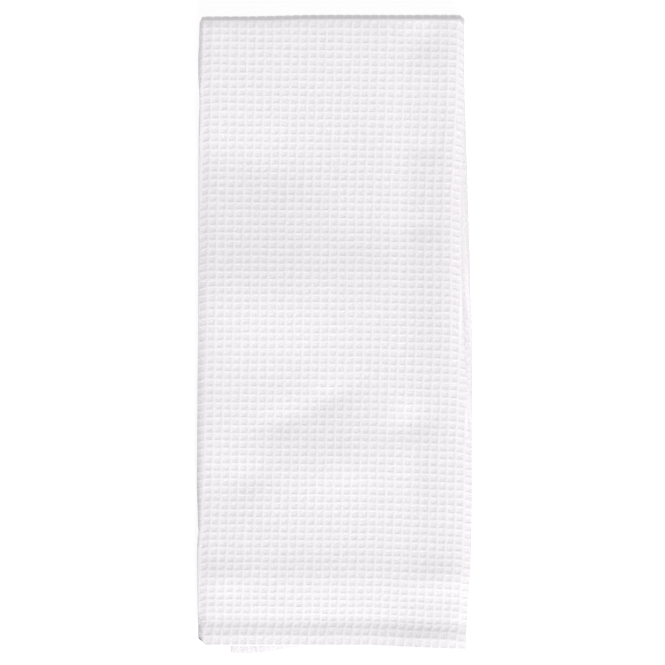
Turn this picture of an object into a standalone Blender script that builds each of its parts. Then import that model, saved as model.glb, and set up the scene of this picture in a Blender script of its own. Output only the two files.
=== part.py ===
"""A waffle-cloth dish towel, folded lengthwise in thirds, then in half, and lying flat.

One rectangle of hemmed cloth is folded as a person would fold it. Laid wrong side up, its first
third is turned in, then its last third over that, and the long strip is folded in half with the
last third inside. That gives six layers: face, first third and last third, and the same three in
the back half, in the other order. The thick fold is at +Y, the hem at -Y, and the back half's
face lies flat on the ground at Z = 0.
"""

import math
from collections import namedtuple

import bmesh
import bpy

MM = 0.001

# The cloth, laid flat.
CLOTH_WIDTH = 406 * MM
CLOTH_LENGTH = 711 * MM
SHEET = 1.4 * MM
HEM = 13.5 * MM
HEM_EXTRA = 0.6 * MM  # a side hem is this much thicker than one layer
HEM_EASE = 1.5 * MM  # a hem's thickness fades in over this much each side of its seam

# The folded stack. Depth is measured from the plane between the two halves.
GAP = 0.5 * MM
PITCH = SHEET + GAP
LAST_DEPTH = 0.5 * PITCH
FIRST_DEPTH = 1.5 * PITCH
FACE_DEPTH = 2.5 * PITCH
HALF_STACK = FACE_DEPTH + SHEET / 2
FLAT_STACK = 2 * HALF_STACK

# The section across the towel before it settles: the two side folds' centres.
LEFT_EDGE = -76.6 * MM
RIGHT_EDGE = 74.4 * MM
LEFT_CENTRE = LEFT_EDGE + PITCH / 2 + SHEET / 2
RIGHT_CENTRE = RIGHT_EDGE - PITCH - SHEET / 2
FACE_RUN = RIGHT_CENTRE - LEFT_CENTRE
HIDDEN_RUNS = CLOTH_WIDTH - FACE_RUN - 1.5 * math.pi * PITCH
LAST_RUN_AT_HEM = 129.5 * MM
GRAIN_DRIFT = 8.4 * MM  # the side folds leave the grain by this much from the thick fold to the hem

# The run down the towel.
FACE_REACH = 354.6 * MM - HALF_STACK  # from the thick fold's centre line to the front hem's edge
HEM_SLOPE_START = 20 * MM
HEM_SLOPE = 0.045  # right of there, the hem runs downhill
HEM_CORNER = 5 * MM
HEM_CORNER_RISE = 3.8 * MM
HEM_CORNER_START = 0.955  # the share of the way down where the corner begins to round
SEAM_DIP = 0.75 * MM
SEAM_DIP_WIDTH = 5 * MM
END_ROLL = 9 * MM
END_DROP = 0.2 * MM

# The soft shape of the top.
TOP_SWELL = 3.8 * MM
TOP_SWELL_FADE = 56 * MM
TOP_LEAN = 0.9 * MM  # the thick fold's left end lies this much lower down the towel than its right end
TOP_LEAN_START = -5 * MM  # left of there it dips, over this width
TOP_LEAN_WIDTH = 50 * MM
TOP_LEAN_FADE = 24 * MM
FOLD_FULLNESS = 0.7  # 1 is a round thick fold, and less is a fuller, squarer one
SIDE_FULLNESS = 0.5  # the same for the side folds
SIDE_ROLL = 12 * MM
SIDE_DROP = 1.3 * MM
LEAST_STACK = 8.6 * MM

# How far the last third reaches past the front hem, by the distance from its free edge: it takes
# the short way round the thick fold, so its corner comes out below the hem.
Slip = namedtuple("Slip", "from_edge past_hem")
SLIPS = (
    Slip(0 * MM, 4.3 * MM),
    Slip(2 * MM, 5.2 * MM),
    Slip(14 * MM, 5.0 * MM),
    Slip(26 * MM, 3.2 * MM),
    Slip(38 * MM, 1.7 * MM),
    Slip(52 * MM, 0.4 * MM),
    Slip(66 * MM, 0.0 * MM),
)

# Where the side folds lie, by the distance below the thick fold: the front half's two edges, then
# the back half's, which is turned a little and looks out at the right.
Edge = namedtuple("Edge", "down left right back_left back_right")
EDGES = (
    Edge(0 * MM, -76.4 * MM, 72.9 * MM, -76.4 * MM, 72.9 * MM),
    Edge(30 * MM, -77.1 * MM, 73.0 * MM, -76.6 * MM, 73.2 * MM),
    Edge(65 * MM, -76.9 * MM, 72.3 * MM, -75.6 * MM, 74.0 * MM),
    Edge(120 * MM, -76.8 * MM, 71.0 * MM, -74.0 * MM, 75.7 * MM),
    Edge(175 * MM, -76.9 * MM, 72.9 * MM, -73.4 * MM, 77.4 * MM),
    Edge(205 * MM, -77.3 * MM, 74.7 * MM, -73.2 * MM, 77.7 * MM),
    Edge(240 * MM, -77.6 * MM, 77.0 * MM, -73.2 * MM, 77.6 * MM),
    Edge(273 * MM, -77.7 * MM, 77.3 * MM, -73.3 * MM, 76.6 * MM),
    Edge(312 * MM, -77.6 * MM, 76.6 * MM, -73.4 * MM, 75.2 * MM),
    Edge(334 * MM, -77.2 * MM, 75.0 * MM, -73.6 * MM, 73.8 * MM),
    Edge(355 * MM, -77.0 * MM, 74.2 * MM, -73.8 * MM, 73.4 * MM),
)

# Soft ridges (height > 0) and troughs (height < 0) of the top: the centre, the spread along and
# across, how far the long way is turned from +X towards -Y, in degrees, and the height.
Crease = namedtuple("Crease", "name x down along across turn height")
CREASES = (
    Crease("swell over the left side", -40 * MM, 156 * MM, 52 * MM, 28 * MM, 6, 2.9 * MM),
    Crease("trough under the thick fold", -46 * MM, 84 * MM, 44 * MM, 20 * MM, 8, -1.7 * MM),
    Crease("dip across the middle", 16 * MM, 122 * MM, 22 * MM, 16 * MM, 40, -1.0 * MM),
    Crease("trough past the first third", 41 * MM, 112 * MM, 66 * MM, 9 * MM, 88, -1.6 * MM),
    Crease("roll beside the right fold", 65 * MM, 140 * MM, 100 * MM, 10 * MM, 91, 1.5 * MM),
    Crease("dimple by the thick fold", 50 * MM, 14 * MM, 12 * MM, 10 * MM, 80, -1.3 * MM),
    Crease("dent by the roll, upper", 50 * MM, 76 * MM, 9 * MM, 6 * MM, 20, -0.6 * MM),
    Crease("dent by the roll, lower", 49 * MM, 119 * MM, 10 * MM, 6 * MM, 10, -0.6 * MM),
    Crease("upper dent of the diagonal", -1 * MM, 215 * MM, 14 * MM, 8 * MM, 150, -0.9 * MM),
    Crease("middle dent of the diagonal", -31 * MM, 229 * MM, 14 * MM, 8 * MM, 165, -0.9 * MM),
    Crease("lower dent of the diagonal", -49 * MM, 261 * MM, 10 * MM, 9 * MM, 150, -0.7 * MM),
    Crease("dent left of the roll", 43 * MM, 230 * MM, 13 * MM, 9 * MM, 165, -1.1 * MM),
    Crease("trough beside the right roll", 45 * MM, 258 * MM, 40 * MM, 9 * MM, 86, -1.2 * MM),
    Crease("rise below the diagonal", 0 * MM, 252 * MM, 30 * MM, 17 * MM, -6, 1.5 * MM),
    Crease("slack by the left fold", -62 * MM, 264 * MM, 22 * MM, 20 * MM, 80, -1.2 * MM),
    Crease("ridge above the hem, left", -62 * MM, 317 * MM, 18 * MM, 9 * MM, 4, 1.1 * MM),
    Crease("hem's lift, left", -62 * MM, 354 * MM, 22 * MM, 12 * MM, 0, 0.8 * MM),
    Crease("ridge above the hem, middle", -6 * MM, 318 * MM, 44 * MM, 12 * MM, 0, 1.3 * MM),
    Crease("ridge above the hem, right", 58 * MM, 318 * MM, 20 * MM, 10 * MM, -3, 1.4 * MM),
    Crease("hem's lift, middle", 4 * MM, 354 * MM, 40 * MM, 11 * MM, 0, 0.8 * MM),
    Crease("hem's lift, right", 52 * MM, 354 * MM, 20 * MM, 12 * MM, 0, 2.2 * MM),
)

# The mesh.
FACE_STEPS = 13
LAST_STEPS = 9
FIRST_STEPS = 8
FOLD_EASE = 4 * MM  # a column this far from each side fold, where the layers begin to roll over
RIGHT_FOLD_STEPS = 6
LEFT_FOLD_STEPS = 4
BEND_STEPS = 8
FRONT_STEPS = 22
BACK_STEPS = 13
RIM_BULGE = 0.4 * MM


def soft_step(t):
    """0 before 0, 1 after 1, and an S curve between."""
    t = min(max(t, 0.0), 1.0)
    return t * t * (3 - 2 * t)


def read_table(rows, key, column, at):
    """A smooth curve through one column of a table, flat past its ends."""
    keys = [getattr(row, key) for row in rows]
    values = [getattr(row, column) for row in rows]
    if at <= keys[0]:
        return values[0]
    if at >= keys[-1]:
        return values[-1]
    i = max(n for n in range(len(keys) - 1) if keys[n] <= at)
    span = keys[i + 1] - keys[i]

    def slope(n):
        if n == 0 or n == len(keys) - 1:
            return 0.0
        return (values[n + 1] - values[n - 1]) / (keys[n + 1] - keys[n - 1])

    t = (at - keys[i]) / span
    return (
        values[i] * (1 + 2 * t) * (1 - t) ** 2
        + slope(i) * span * t * (1 - t) ** 2
        + values[i + 1] * t * t * (3 - 2 * t)
        + slope(i + 1) * span * t * t * (t - 1)
    )


def last_run(share):
    """Length of the last third from the right fold to its free edge, by the share of the way down."""
    return LAST_RUN_AT_HEM + GRAIN_DRIFT * (1 - share)


def first_run(share):
    """Length of the first third from the left fold to its free edge."""
    return HIDDEN_RUNS - last_run(share)


def spread(start, end, steps):
    """Even places from start towards end, leaving out the end."""
    return [start + (end - start) * n / steps for n in range(steps)]


def section_columns(share):
    """The cloth's columns in order across it, as (panel, amount), from free edge to free edge."""
    seam = [0.0, HEM - HEM_EASE, HEM + HEM_EASE]
    last = last_run(share)
    first = first_run(share)
    last_places = [last - edge for edge in seam[:-1]]
    last_places += spread(last - seam[-1], FOLD_EASE, LAST_STEPS) + [FOLD_EASE]
    face_places = [0.0] + spread(FOLD_EASE, FACE_RUN - FOLD_EASE, FACE_STEPS) + [FACE_RUN - FOLD_EASE]
    first_places = [0.0] + spread(FOLD_EASE, first - seam[-1], FIRST_STEPS)
    first_places += [first - edge for edge in reversed(seam)]
    columns = [("last third", place) for place in last_places]
    columns += [("right fold", angle) for angle in spread(0.0, math.pi, RIGHT_FOLD_STEPS)]
    columns += [("face", place) for place in face_places]
    columns += [("left fold", angle) for angle in spread(0.0, math.pi, LEFT_FOLD_STEPS)]
    columns += [("first third", place) for place in first_places]
    return columns


def section_rows():
    """The cloth's rows in order down it, as (half, share of the run or angle round the bend)."""
    seam_share = HEM / FACE_REACH
    ease_share = HEM_EASE / FACE_REACH
    hem = [1.0, 1 - 0.5 * seam_share, 1 - seam_share, 1 - seam_share - 2 * ease_share]
    front = [hem[-1] * (1 - n / FRONT_STEPS) for n in range(1, FRONT_STEPS)]
    back = [hem[-1] * n / BACK_STEPS for n in range(1, BACK_STEPS)]
    rows = [("front", share) for share in hem + front]
    rows += [("bend", math.pi * (0.5 - n / BEND_STEPS)) for n in range(BEND_STEPS + 1)]
    rows += [("back", share) for share in back + hem[::-1]]
    return rows


def fold_reach(angle):
    """How far out a side fold reaches at this angle round it, as a share. Cloth folds fuller than a circle."""
    return max(math.sin(angle), 0.0) ** SIDE_FULLNESS


def fold_in_thirds(panel, amount, offset):
    """Sideways place, the layer's depth and the point's own depth. Offset is towards the right side."""
    if panel == "last third":
        return RIGHT_CENTRE - amount, LAST_DEPTH, LAST_DEPTH - offset
    if panel == "right fold":
        x = RIGHT_CENTRE + (PITCH + offset) * fold_reach(amount)
        depth = FIRST_DEPTH - (PITCH + offset) * math.cos(amount)
        return x, FIRST_DEPTH - PITCH * math.cos(amount), depth
    if panel == "face":
        return RIGHT_CENTRE - amount, FACE_DEPTH, FACE_DEPTH + offset
    if panel == "left fold":
        middle = (FIRST_DEPTH + FACE_DEPTH) / 2
        x = LEFT_CENTRE - (PITCH / 2 + offset) * fold_reach(amount)
        depth = middle + (PITCH / 2 + offset) * math.cos(amount)
        return x, middle + PITCH / 2 * math.cos(amount), depth
    return LEFT_CENTRE + amount, FIRST_DEPTH, FIRST_DEPTH - offset


def hem_reach(x):
    """How far the front hem's edge lies below the thick fold's centre line, at this place."""
    slope = HEM_SLOPE * max(0.0, x - HEM_SLOPE_START)
    return FACE_REACH + slope


def corner_cut(x, share):
    """How much the hem's rounded left corner takes off that, by the share of the way down."""
    cut = HEM_CORNER_RISE * soft_step((LEFT_EDGE + HEM_CORNER - x) / HEM_CORNER)
    return cut * soft_step((share - HEM_CORNER_START) / (1 - HEM_CORNER_START))


def fold_in_half(panel, amount, offset, half, place):
    """The point in the folded stack before it settles: x, distance down and height over the middle."""
    x, layer_depth, depth = fold_in_thirds(panel, amount, offset)
    if half == "bend":
        outward = max(0.0, math.cos(place)) ** FOLD_FULLNESS
        return x, HALF_STACK - depth * outward, depth * math.sin(place)
    reach = hem_reach(x)
    if panel == "last third":
        from_edge = last_run(1.0) - amount
        reach += read_table(SLIPS, "from_edge", "past_hem", from_edge)
    side = 1 if half == "front" else -1
    return x, HALF_STACK + reach * place - corner_cut(x, place), side * depth


def in_hem(from_edge):
    """1 on a side hem, 0 off it, by the distance from the cloth's free edge."""
    rise = soft_step((from_edge + HEM_EASE) / HEM_EASE)
    fall = soft_step((HEM + HEM_EASE - from_edge) / (2 * HEM_EASE))
    return rise * fall


def crease_height(crease, x, down):
    """A soft ridge or trough, by its own spread along and across."""
    turn = math.radians(crease.turn)
    along = (x - crease.x) * math.cos(turn) + (down - crease.down) * math.sin(turn)
    across = (down - crease.down) * math.cos(turn) - (x - crease.x) * math.sin(turn)
    return crease.height * math.exp(-((along / crease.along) ** 2) - (across / crease.across) ** 2)


def stack_height(x, down):
    """The settled stack's thickness at this place, which is the height of its top."""
    left = read_table(EDGES, "down", "left", down)
    right = read_table(EDGES, "down", "right", down)
    hem_edge = HALF_STACK + hem_reach(x) - corner_cut(x, 1.0)
    inward = max(0.0, min(x - left, right - x))
    upward = hem_edge - down
    height = FLAT_STACK + sum(crease_height(crease, x, down) for crease in CREASES)
    height += TOP_SWELL * math.exp(-((down / TOP_SWELL_FADE) ** 2))
    height -= SEAM_DIP * math.exp(-(((upward - HEM) / SEAM_DIP_WIDTH) ** 2))
    height -= SIDE_DROP * (1 - soft_step(inward / SIDE_ROLL)) ** 2
    height -= END_DROP * (1 - soft_step((upward + 3 * MM) / END_ROLL))
    return max(height, LEAST_STACK)


def settle(x, down, over_middle, front_share):
    """Moves a point of the even stack to where the soft towel really lies, with nothing crossing."""
    left = read_table(EDGES, "down", "left", down)
    right = read_table(EDGES, "down", "right", down)
    back_left = read_table(EDGES, "down", "back_left", down)
    back_right = read_table(EDGES, "down", "back_right", down)
    left = back_left + (left - back_left) * front_share
    right = back_right + (right - back_right) * front_share
    settled_x = left + (x - LEFT_EDGE) * (right - left) / (RIGHT_EDGE - LEFT_EDGE)

    share = min(max((down - HALF_STACK) / FACE_REACH, 0.0), 1.0)
    last_hem = in_hem(x - (RIGHT_CENTRE - last_run(share)))
    first_hem = in_hem(LEFT_CENTRE + first_run(share) - x)

    def thickened(depth):
        last_part = last_hem * min(depth / PITCH, 1.0)
        first_part = first_hem * min(max(depth / PITCH - 1.0, 0.0), 1.0)
        return depth + HEM_EXTRA * (last_part + first_part)

    part = thickened(abs(over_middle)) / thickened(HALF_STACK)
    middle = stack_height(settled_x, down) / 2
    leftness = soft_step((TOP_LEAN_START - settled_x) / TOP_LEAN_WIDTH)
    down += TOP_LEAN * leftness * (1 - soft_step(down / TOP_LEAN_FADE))
    return settled_x, down, middle * (1 + math.copysign(part, over_middle))


def towel_point(column, row, offset, outward):
    """One point of the finished cloth: offset is off its middle, outward is past its rim."""
    half, place = row
    panel, amount = column
    x, down, over_middle = fold_in_half(panel, amount, offset, half, place)
    x += outward[0]
    down += outward[1]
    front_share = {"front": 1.0, "back": 0.0}.get(half, 0.5 + 0.5 * math.sin(place))
    x, down, z = settle(x, down, over_middle, front_share)
    return x, -down, z


def rim_outward(column_index, row_index, columns, rows):
    """Which way the rim bulges here, as a move in x and down."""
    sideways = {0: -RIM_BULGE, columns - 1: RIM_BULGE}.get(column_index, 0.0)
    downward = RIM_BULGE if row_index in (0, rows - 1) else 0.0
    return sideways, downward


def build_sheet():
    """The cloth as one closed sheet: a right side, a wrong side and a rounded rim."""
    bm = bmesh.new()
    rows = section_rows()
    grids = {"right": [], "wrong": [], "rim": {}}
    for r, row in enumerate(rows):
        share = row[1] if row[0] != "bend" else 0.0
        columns = section_columns(share)
        for side, offset in (("right", SHEET / 2), ("wrong", -SHEET / 2)):
            line = [bm.verts.new(towel_point(column, row, offset, (0, 0))) for column in columns]
            grids[side].append(line)
        for c, column in enumerate(columns):
            if r in (0, len(rows) - 1) or c in (0, len(columns) - 1):
                outward = rim_outward(c, r, len(columns), len(rows))
                grids["rim"][(r, c)] = bm.verts.new(towel_point(column, row, 0.0, outward))
    fill_sides(bm, grids)
    fill_rim(bm, grids)
    bmesh.ops.recalc_face_normals(bm, faces=bm.faces)
    return bm


def fill_sides(bm, grids):
    """Quads over the right side and the wrong side."""
    for side in ("right", "wrong"):
        grid = grids[side]
        for lower, upper in zip(grid, grid[1:]):
            for c in range(len(lower) - 1):
                bm.faces.new((lower[c], lower[c + 1], upper[c + 1], upper[c]))


def fill_rim(bm, grids):
    """Two strips of quads round the rim, from the right side over its bulge to the wrong side."""
    last_row = len(grids["right"]) - 1
    last_column = len(grids["right"][0]) - 1
    loop = [(0, c) for c in range(last_column)]
    loop += [(r, last_column) for r in range(last_row)]
    loop += [(last_row, c) for c in range(last_column, 0, -1)]
    loop += [(r, 0) for r in range(last_row, 0, -1)]
    for here, there in zip(loop, loop[1:] + loop[:1]):
        for side in ("right", "wrong"):
            a = grids[side][here[0]][here[1]]
            b = grids[side][there[0]][there[1]]
            bm.faces.new((a, b, grids["rim"][there], grids["rim"][here]))


def centre_on_footprint(bm):
    """Puts the origin under the middle of the towel's box."""
    for axis in (0, 1):
        places = [v.co[axis] for v in bm.verts]
        middle = (min(places) + max(places)) / 2
        for v in bm.verts:
            v.co[axis] -= middle


def cloth_material():
    """White cotton with the faintest warm violet, quite matt."""
    material = bpy.data.materials.new("white waffle cotton")
    material.use_nodes = True
    shader = material.node_tree.nodes["Principled BSDF"]
    shader.inputs["Base Color"].default_value = (0.84, 0.82, 0.84, 1.0)
    shader.inputs["Roughness"].default_value = 0.92
    shader.inputs["Metallic"].default_value = 0.0
    material.diffuse_color = (0.84, 0.82, 0.84, 1.0)
    return material


def clear_scene():
    for thing in list(bpy.data.objects):
        bpy.data.objects.remove(thing, do_unlink=True)


def build_towel():
    bm = build_sheet()
    centre_on_footprint(bm)
    mesh = bpy.data.meshes.new("dish_towel")
    bm.to_mesh(mesh)
    bm.free()
    mesh.materials.append(cloth_material())
    mesh.shade_smooth()
    towel = bpy.data.objects.new("dish_towel", mesh)
    bpy.context.scene.collection.objects.link(towel)
    return towel


clear_scene()
build_towel()
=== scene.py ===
# %% [markdown]
# # A waffle-cloth dish towel, folded and lying flat
#
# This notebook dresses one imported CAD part: a white cotton dish towel, folded lengthwise in
# thirds and then in half. The CAD part gives the folded sheet with its true layers. Here the
# same sheet is made again, finer, with woven cells, a sewn hem and a cotton finish.
#
# The first cell loads the CAD part. Everything after it is placed in the same frame, in metres,
# with +Z up, so nothing has to be fitted by eye.

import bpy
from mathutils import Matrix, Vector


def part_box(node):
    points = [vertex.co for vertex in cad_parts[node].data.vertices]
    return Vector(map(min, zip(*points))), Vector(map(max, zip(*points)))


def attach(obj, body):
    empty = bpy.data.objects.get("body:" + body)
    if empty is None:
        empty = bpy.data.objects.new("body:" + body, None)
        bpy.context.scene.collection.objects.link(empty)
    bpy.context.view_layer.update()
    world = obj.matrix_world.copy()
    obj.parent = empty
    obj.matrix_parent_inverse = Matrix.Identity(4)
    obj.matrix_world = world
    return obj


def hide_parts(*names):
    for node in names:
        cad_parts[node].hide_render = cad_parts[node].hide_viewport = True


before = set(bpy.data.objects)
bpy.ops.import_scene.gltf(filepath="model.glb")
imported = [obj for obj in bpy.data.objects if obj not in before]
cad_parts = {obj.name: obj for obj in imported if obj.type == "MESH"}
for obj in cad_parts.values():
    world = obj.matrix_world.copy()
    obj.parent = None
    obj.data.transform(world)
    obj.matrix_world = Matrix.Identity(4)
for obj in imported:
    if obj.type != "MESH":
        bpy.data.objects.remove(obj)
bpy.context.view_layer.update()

# %% Tools for the rest of the notebook
import math
from collections import namedtuple

import bmesh
import bpy
import numpy as np
from mathutils import Matrix, Vector

MM = 0.001

# %% [markdown]
# ## The cloth before it is folded
#
# A maker starts from the cut cloth: 406 by 711 mm once it is hemmed, which is 16 by 28 inches.
# Waffle cloth is woven in small sunken cells between raised ribs. Counting cells is how a weaver
# would lay it out, so the cloth here is 83 cells wide and 167 cells long, and every size of the
# weave follows from that.

# %% Cloth, hem and cell sizes
CLOTH_WIDTH = 406 * MM
CLOTH_LENGTH = 711 * MM
HALF_LENGTH = CLOTH_LENGTH / 2
SHEET = 1.4 * MM
HEM = 13.5 * MM
HEM_EXTRA = 0.6 * MM
HEM_EASE = 1.5 * MM
COLUMNS = 83
ROWS = 167
CELL_WIDTH = CLOTH_WIDTH / COLUMNS
CELL_HEIGHT = CLOTH_LENGTH / ROWS
print(f"a cell is {CELL_WIDTH / MM:.2f} by {CELL_HEIGHT / MM:.2f} mm")

# %% [markdown]
# ## How the cloth is folded
#
# The towel is six layers thick: the face, the first third turned in under it, the last third
# under that, and then the same three again behind the thick fold. A cloth simulation could fold
# it, but six layers that lie half a millimetre apart tend to cut through each other. A rule is
# safer: each point of the flat cloth is sent round the two side folds, then round the thick fold,
# and then the whole stack is pressed into the soft shape in which it lies. Points that start
# apart stay apart, so no layer can cross another.
#
# The sizes are the CAD part's own, so the finished cloth lies where the CAD part does.

# %% The folded stack
GAP = 0.5 * MM
PITCH = SHEET + GAP
LAST_DEPTH = 0.5 * PITCH
FIRST_DEPTH = 1.5 * PITCH
FACE_DEPTH = 2.5 * PITCH
HALF_STACK = FACE_DEPTH + SHEET / 2
FLAT_STACK = 2 * HALF_STACK
LEFT_EDGE = -76.6 * MM
RIGHT_EDGE = 74.4 * MM
LEFT_CENTRE = LEFT_EDGE + PITCH / 2 + SHEET / 2
RIGHT_CENTRE = RIGHT_EDGE - PITCH - SHEET / 2
FACE_RUN = RIGHT_CENTRE - LEFT_CENTRE
RIGHT_ARC = math.pi * PITCH
LEFT_ARC = math.pi * PITCH / 2
HIDDEN_RUNS = CLOTH_WIDTH - FACE_RUN - RIGHT_ARC - LEFT_ARC
LAST_RUN_AT_HEM = 129.5 * MM
GRAIN_DRIFT = 8.4 * MM
FACE_REACH = 354.6 * MM - HALF_STACK
HEM_SLOPE_START = 20 * MM
HEM_SLOPE = 0.045
HEM_CORNER = 5 * MM
HEM_CORNER_RISE = 3.8 * MM
HEM_CORNER_START = 0.955
flat_width = RIGHT_EDGE - LEFT_EDGE
print(f"the flat stack is {FLAT_STACK / MM:.1f} mm thick and {flat_width / MM:.0f} mm wide")

# %% How the settled towel differs from a flat stack
SEAM_DIP = 0.75 * MM
SEAM_DIP_WIDTH = 5 * MM
END_ROLL = 9 * MM
END_START = 3 * MM
END_DROP = 0.2 * MM
TOP_SWELL = 3.8 * MM
TOP_SWELL_FADE = 56 * MM
TOP_LEAN = 0.9 * MM
TOP_LEAN_START = -5 * MM
TOP_LEAN_WIDTH = 50 * MM
TOP_LEAN_FADE = 24 * MM
FOLD_FULLNESS = 0.7
SIDE_FULLNESS = 0.5
SIDE_ROLL = 12 * MM
SIDE_DROP = 1.3 * MM
LEAST_STACK = 8.6 * MM


def in_mm(row_type, rows, as_written=()):
    """Rows of named columns given in millimetres. Columns as written are names or angles."""
    def convert(column, value):
        return value if column in as_written else value * MM

    return tuple(row_type(*map(convert, row_type._fields, row)) for row in rows)


Slip = namedtuple("Slip", "from_edge past_hem")
SLIPS = in_mm(Slip, (
    (0, 4.3),
    (2, 5.2),
    (14, 5.0),
    (26, 3.2),
    (38, 1.7),
    (52, 0.4),
    (66, 0.0),
))

Edge = namedtuple("Edge", "down left right back_left back_right")
EDGES = in_mm(Edge, (
    (0, -76.4, 72.9, -76.4, 72.9),
    (30, -77.1, 73.0, -76.6, 73.2),
    (65, -76.9, 72.3, -75.6, 74.0),
    (120, -76.8, 71.0, -74.0, 75.7),
    (175, -76.9, 72.9, -73.4, 77.4),
    (205, -77.3, 74.7, -73.2, 77.7),
    (240, -77.6, 77.0, -73.2, 77.6),
    (273, -77.7, 77.3, -73.3, 76.6),
    (312, -77.6, 76.6, -73.4, 75.2),
    (334, -77.2, 75.0, -73.6, 73.8),
    (355, -77.0, 74.2, -73.8, 73.4),
))

Crease = namedtuple("Crease", "name x down along across turn height")
CREASES = in_mm(Crease, (
    ("swell over the left side", -40, 156, 52, 28, 6, 2.9),
    ("trough under the thick fold", -46, 84, 44, 20, 8, -1.7),
    ("dip across the middle", 16, 122, 22, 16, 40, -1.0),
    ("trough past the first third", 41, 112, 66, 9, 88, -1.6),
    ("roll beside the right fold", 65, 140, 100, 10, 91, 1.5),
    ("dimple by the thick fold", 50, 14, 12, 10, 80, -1.3),
    ("dent by the roll, upper", 50, 76, 9, 6, 20, -0.6),
    ("dent by the roll, lower", 49, 119, 10, 6, 10, -0.6),
    ("upper dent of the diagonal", -1, 215, 14, 8, 150, -0.9),
    ("middle dent of the diagonal", -31, 229, 14, 8, 165, -0.9),
    ("lower dent of the diagonal", -49, 261, 10, 9, 150, -0.7),
    ("dent left of the roll", 43, 230, 13, 9, 165, -1.1),
    ("trough beside the right roll", 45, 258, 40, 9, 86, -1.2),
    ("rise below the diagonal", 0, 252, 30, 17, -6, 1.5),
    ("slack by the left fold", -62, 264, 22, 20, 80, -1.2),
    ("ridge above the hem, left", -62, 317, 18, 9, 4, 1.1),
    ("hem's lift, left", -62, 354, 22, 12, 0, 0.8),
    ("ridge above the hem, middle", -6, 318, 44, 12, 0, 1.3),
    ("ridge above the hem, right", 58, 318, 20, 10, -3, 1.4),
    ("hem's lift, middle", 4, 354, 40, 11, 0, 0.8),
    ("hem's lift, right", 52, 354, 20, 12, 0, 2.2),
), as_written=("name", "turn"))
print(len(EDGES), "places down the edges,", len(CREASES), "soft ridges and troughs")


# %% Smooth steps and smooth tables
def soft_step(t):
    """0 before 0, 1 after 1, and an S curve between."""
    t = np.clip(t, 0.0, 1.0)
    return t * t * (3 - 2 * t)


def read_table(rows, key, column, at):
    """A smooth curve through one column of a table, flat past its ends, for a whole array."""
    keys = np.array([getattr(row, key) for row in rows])
    values = np.array([getattr(row, column) for row in rows])
    slopes = np.zeros(len(keys))
    slopes[1:-1] = (values[2:] - values[:-2]) / (keys[2:] - keys[:-2])
    at = np.clip(at, keys[0], keys[-1])
    i = np.clip(np.searchsorted(keys, at, side="right") - 1, 0, len(keys) - 2)
    span = keys[i + 1] - keys[i]
    t = (at - keys[i]) / span
    start = values[i] * (1 + 2 * t) * (1 - t) ** 2 + slopes[i] * span * t * (1 - t) ** 2
    end = values[i + 1] * t * t * (3 - 2 * t) + slopes[i + 1] * span * t * t * (t - 1)
    return start + end


print("soft step at a quarter:", float(soft_step(0.25)))

# %% [markdown]
# ## Where the weave lies on the folded towel
#
# A towel is never folded exactly along its threads. On this one the rows run level, but the
# columns wander left on the way down, so two columns roll out of sight round the left fold and
# two more come into sight at the right. A small table says where two columns lie at each
# distance down, and the folds then fall wherever the outline cuts the cloth.
#
# The sewn hem has its own marks: it drags the columns sideways in the row above it, and it
# gathers the rows next to the stitches. The other rows aren't spaced quite evenly either, so a
# second table says how far they lie towards the thick fold, at the left and at the right.

# %% The columns' wander and the hem's pull
LEFT_COLUMN = 59
RIGHT_COLUMN = 30
Wander = namedtuple("Wander", "down left_column right_column")
WANDERS = in_mm(Wander, (
    (4, -73.35, 69),
    (43, -74.35, 68.3),
    (76, -74.95, 66.8),
    (110, -75.85, 65.5),
    (177, -76.75, 65.2),
    (211, -77.55, 64.3),
    (245, -78.15, 63.1),
    (278, -79.35, 62.8),
    (306, -80.75, 61.9),
    (329, -81.45, 60.9),
    (355, -81.95, 60),
))
HEM_DRAG = 1.3 * MM
STITCH_INSET = 11.6 * MM
DRAG_ROW_TOP = HALF_LENGTH - 3 * CELL_HEIGHT
DRAG_ROW_FOOT = HALF_LENGTH - 2 * CELL_HEIGHT

Pull = namedtuple("Pull", "along left right")
PULLS = in_mm(Pull, (
    (0, 0, 0),
    (12, 1.72, -0.4),
    (28, 1.4, -0.05),
    (67, 1.36, -0.19),
    (112, 1.34, 0.19),
    (157, 0.86, 0.16),
    (180, 0.45, -0.05),
    (202, 0.19, -0.56),
    (224, -0.17, -1.12),
    (269, -0.4, -1.35),
    (291, -0.61, -1.56),
    (308, -0.48, -1.33),
    (325, -0.3, -1.2),
    (336, 0.67, -0.33),
    (346, 1.38, 0.48),
    (351, 1.19, 0.79),
    (355.5, 0, 0),
))


def last_run(share):
    """Length of the last third from the right fold to its free edge, this share of the way down."""
    return LAST_RUN_AT_HEM + GRAIN_DRIFT * (1 - share)


def first_run(share):
    """Length of the first third from the left fold to its free edge."""
    return HIDDEN_RUNS - last_run(share)


def share_down(along, layer_depth):
    """0 in the thick fold's bend, 1 at the hem, for a layer at this depth."""
    bend = math.pi / 2 * layer_depth
    return np.clip((along - bend) / (HALF_LENGTH - bend), 0.0, 1.0)


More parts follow.
